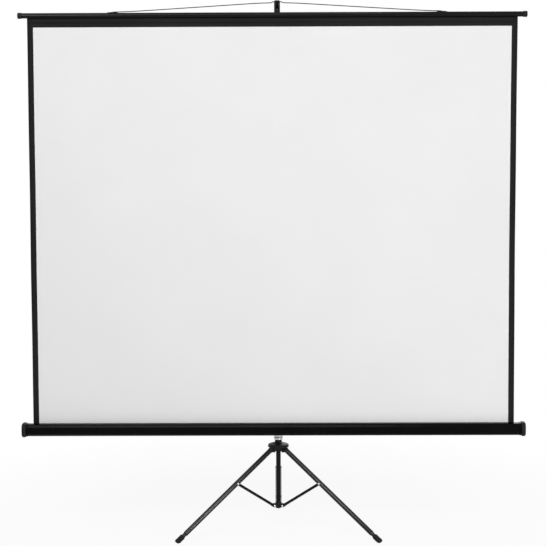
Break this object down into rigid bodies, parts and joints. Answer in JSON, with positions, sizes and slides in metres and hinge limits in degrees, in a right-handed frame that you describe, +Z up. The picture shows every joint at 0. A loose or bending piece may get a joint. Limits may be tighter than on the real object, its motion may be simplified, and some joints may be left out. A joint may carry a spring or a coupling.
{
  "type": "tripod projection screen",
  "caption": "Spring-roller projection screen in a slim case on a telescopic mast with folding tripod legs, held open by a wire bail on a hook.",
  "frame": {"origin": "middle of the bounding box on the floor", "axes": "+Z up, +X to the viewer's right along the screen, +Y away from the viewer"},
  "size_m": [2.502, 0.8798, 2.6419],
  "materials": {
    "black_paint": "satin black paint",
    "black_plastic": "fine-grained black plastic",
    "rubber": "matt rubber",
    "zinc": "zinc-plated steel",
    "nickel": "satin nickel",
    "wire": "dark spring wire",
    "nylon": "natural nylon",
    "cloth": "matt white with a black border"
  },
  "bodies": {
    "mast": {"post_tube": "black_paint", "leg_hub": "black_plastic", "hub_skirt": "black_plastic", "hub_pin_left": "black_paint", "hub_pin_right": "black_paint", "hub_pin_rear": "black_paint", "rod_clamp": "black_plastic", "rod_guide_bush": "nylon"},
    "spreader": {"spreader_tube": "black_paint", "spreader_collar": "black_plastic", "spreader_plug": "black_plastic", "collar_pin_left": "zinc", "collar_pin_right": "zinc", "collar_pin_rear": "zinc"},
    "carrier": {"carrier_sleeve": "black_plastic", "carrier_ring": "nickel", "swivel_bolt": "zinc"},
    "carrier_knob": {"carrier_knob": "black_plastic"},
    "case": {"case_shell": "black_paint", "case_cap_left": "black_plastic", "case_cap_right": "black_plastic", "swivel_plate": "black_paint", "spring_arbor": "zinc", "screen_cloth": "cloth"},
    "roller": {"roller_tube": "zinc", "roller_gudgeon": "nylon", "roller_bearing": "nylon", "roller_spring": "zinc", "cloth_roll": "cloth"},
    "top_bar": {"bar_tube": "black_paint", "bar_cap_left": "black_plastic", "bar_cap_right": "black_plastic", "hem_rod": "zinc", "bail_clip_left": "black_plastic", "bail_clip_right": "black_plastic"},
    "bail": {"bail_wire": "wire"},
    "rod": {"extension_rod": "black_paint", "rod_foot_bush": "nylon", "hook_head": "black_plastic", "hook_arm": "black_paint"},
    "rod_knob": {"rod_knob": "black_plastic"},
    "leg_left": {"leg_left_head": "black_plastic", "leg_left_tube": "black_paint", "leg_left_boot": "rubber", "leg_left_rivet": "zinc"},
    "strut_left": {"strut_left_near": "black_paint", "strut_left_far": "black_paint"},
    "leg_right": {"leg_right_head": "black_plastic", "leg_right_tube": "black_paint", "leg_right_boot": "rubber", "leg_right_rivet": "zinc"},
    "strut_right": {"strut_right_near": "black_paint", "strut_right_far": "black_paint"},
    "leg_rear": {"leg_rear_head": "black_plastic", "leg_rear_tube": "black_paint", "leg_rear_boot": "rubber", "leg_rear_rivet": "zinc"},
    "strut_rear": {"strut_rear_near": "black_paint", "strut_rear_far": "black_paint"}
  },
  "joints": [
    {"name": "legs_fold", "type": "hinge", "parent": "mast", "child": "leg_left", "pos_m": [-0.00198, -0.15597, 0.39103], "axis": [0.5, -0.866, 0], "range_deg": [0, 52]},
    {"name": "strut_left_turn", "type": "hinge", "parent": "leg_left", "child": "strut_left", "pos_m": [-0.18271, -0.26032, 0.25256], "axis": [0.5, -0.866, 0], "range_deg": [-104, 0]},
    {"name": "leg_right_fold", "type": "hinge", "parent": "mast", "child": "leg_right", "pos_m": [0.04998, -0.15597, 0.39103], "axis": [0.5, 0.866, 0], "range_deg": [0, 52]},
    {"name": "strut_right_turn", "type": "hinge", "parent": "leg_right", "child": "strut_right", "pos_m": [0.23071, -0.26032, 0.25256], "axis": [0.5, 0.866, 0], "range_deg": [-104, 0]},
    {"name": "leg_rear_fold", "type": "hinge", "parent": "mast", "child": "leg_rear", "pos_m": [0.024, -0.11097, 0.39103], "axis": [-1, 0, 0], "range_deg": [0, 52]},
    {"name": "strut_rear_turn", "type": "hinge", "parent": "leg_rear", "child": "strut_rear", "pos_m": [0.024, 0.09772, 0.25256], "axis": [-1, 0, 0], "range_deg": [-104, 0]},
    {"name": "spreader_run", "type": "hinge", "parent": "strut_left", "child": "spreader", "pos_m": [-0.00198, -0.15597, 0.11408], "axis": [0.5, -0.866, 0], "range_deg": [0, 52]},
    {"name": "carrier_slide", "type": "slide", "parent": "mast", "child": "carrier", "axis": [0, 0, 1], "range_m": [0, 1.16]},
    {"name": "carrier_knob_turn", "type": "hinge", "parent": "carrier", "child": "carrier_knob", "pos_m": [0.024, -0.14097, 0.54053], "axis": [0, 1, 0], "range_deg": [0, 180]},
    {"name": "case_swivel", "type": "hinge", "parent": "carrier", "child": "case", "pos_m": [0.024, -0.14097, 0.51853], "axis": [0, 1, 0], "range_deg": [0, 90]},
    {"name": "bar_draw", "type": "slide", "parent": "case", "child": "top_bar", "axis": [0, 0, -1], "range_m": [0, 1.99], "deforming": ["screen_cloth"]},
    {"name": "roller_turn", "type": "hinge", "parent": "case", "child": "roller", "pos_m": [0, -0.23097, 0.51853], "axis": [-1, 0, 0], "range_deg": [0, 6000]},
    {"name": "bail_swing", "type": "hinge", "parent": "top_bar", "child": "bail", "pos_m": [0.024, -0.21192, 2.57853], "axis": [1, 0, 0], "range_deg": [0, 140]},
    {"name": "rod_slide", "type": "slide", "parent": "mast", "child": "rod", "axis": [0, 0, -1], "range_m": [0, 0.73]},
    {"name": "rod_knob_turn", "type": "hinge", "parent": "mast", "child": "rod_knob", "pos_m": [0.024, -0.14097, 1.79803], "axis": [0, 1, 0], "range_deg": [0, 180]}
  ],
  "couplings": [
    {"joint": "strut_left_turn", "follows": "legs_fold", "ratio": -2},
    {"joint": "leg_right_fold", "follows": "legs_fold", "ratio": 1},
    {"joint": "strut_right_turn", "follows": "legs_fold", "ratio": -2},
    {"joint": "leg_rear_fold", "follows": "legs_fold", "ratio": 1},
    {"joint": "strut_rear_turn", "follows": "legs_fold", "ratio": -2},
    {"joint": "spreader_run", "follows": "legs_fold", "ratio": 1},
    {"joint": "case_swivel", "follows": "carrier_slide", "rad_per_m": 1.354},
    {"joint": "roller_turn", "follows": "bar_draw", "rad_per_m": 52.5}
  ]
}
